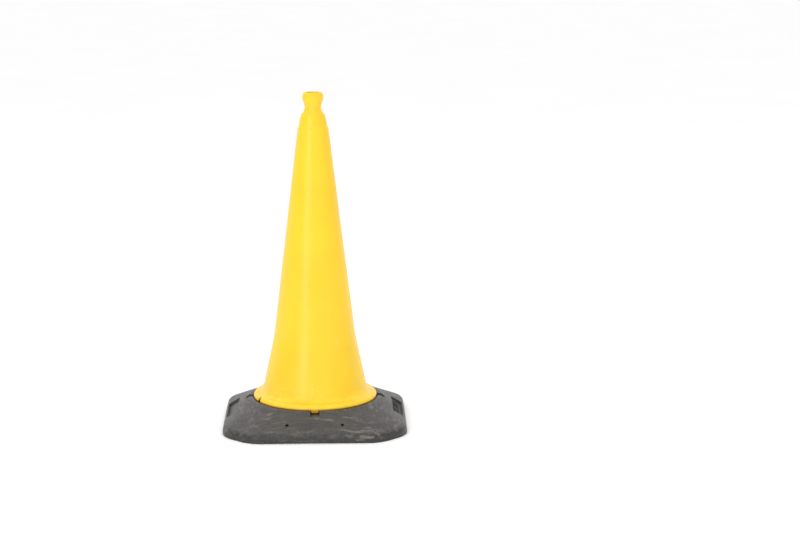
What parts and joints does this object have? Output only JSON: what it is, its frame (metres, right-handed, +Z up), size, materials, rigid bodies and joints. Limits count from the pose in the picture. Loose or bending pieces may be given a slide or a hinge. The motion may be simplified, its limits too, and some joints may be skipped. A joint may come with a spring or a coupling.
{
  "type": "traffic cone",
  "caption": "Tall hollow cone with a grip at the top, locked by a bayonet into a heavy low square base with cut corners.",
  "frame": {"origin": "on the ground, under the middle of the base, on the cone's axis", "axes": "+Z up along the cone's axis; -Y towards the side with the witness tab and two blind holes, +X towards the label recess with bars"},
  "size_m": [0.412, 0.412, 0.75],
  "materials": {
    "yellow_polyethylene": "satin injection-moulded polyethylene",
    "recycled_rubber": "dull moulded recycled compound with flow marks"
  },
  "bodies": {
    "base": {"base": "recycled_rubber"},
    "cone": {"cone_body": "yellow_polyethylene"}
  },
  "joints": [
    {"name": "bayonet_twist", "type": "hinge", "parent": "base", "child": "cone", "pos_m": [0, 0, 0.05], "axis": [0, 0, 1], "range_deg": [0, 45]}
  ]
}
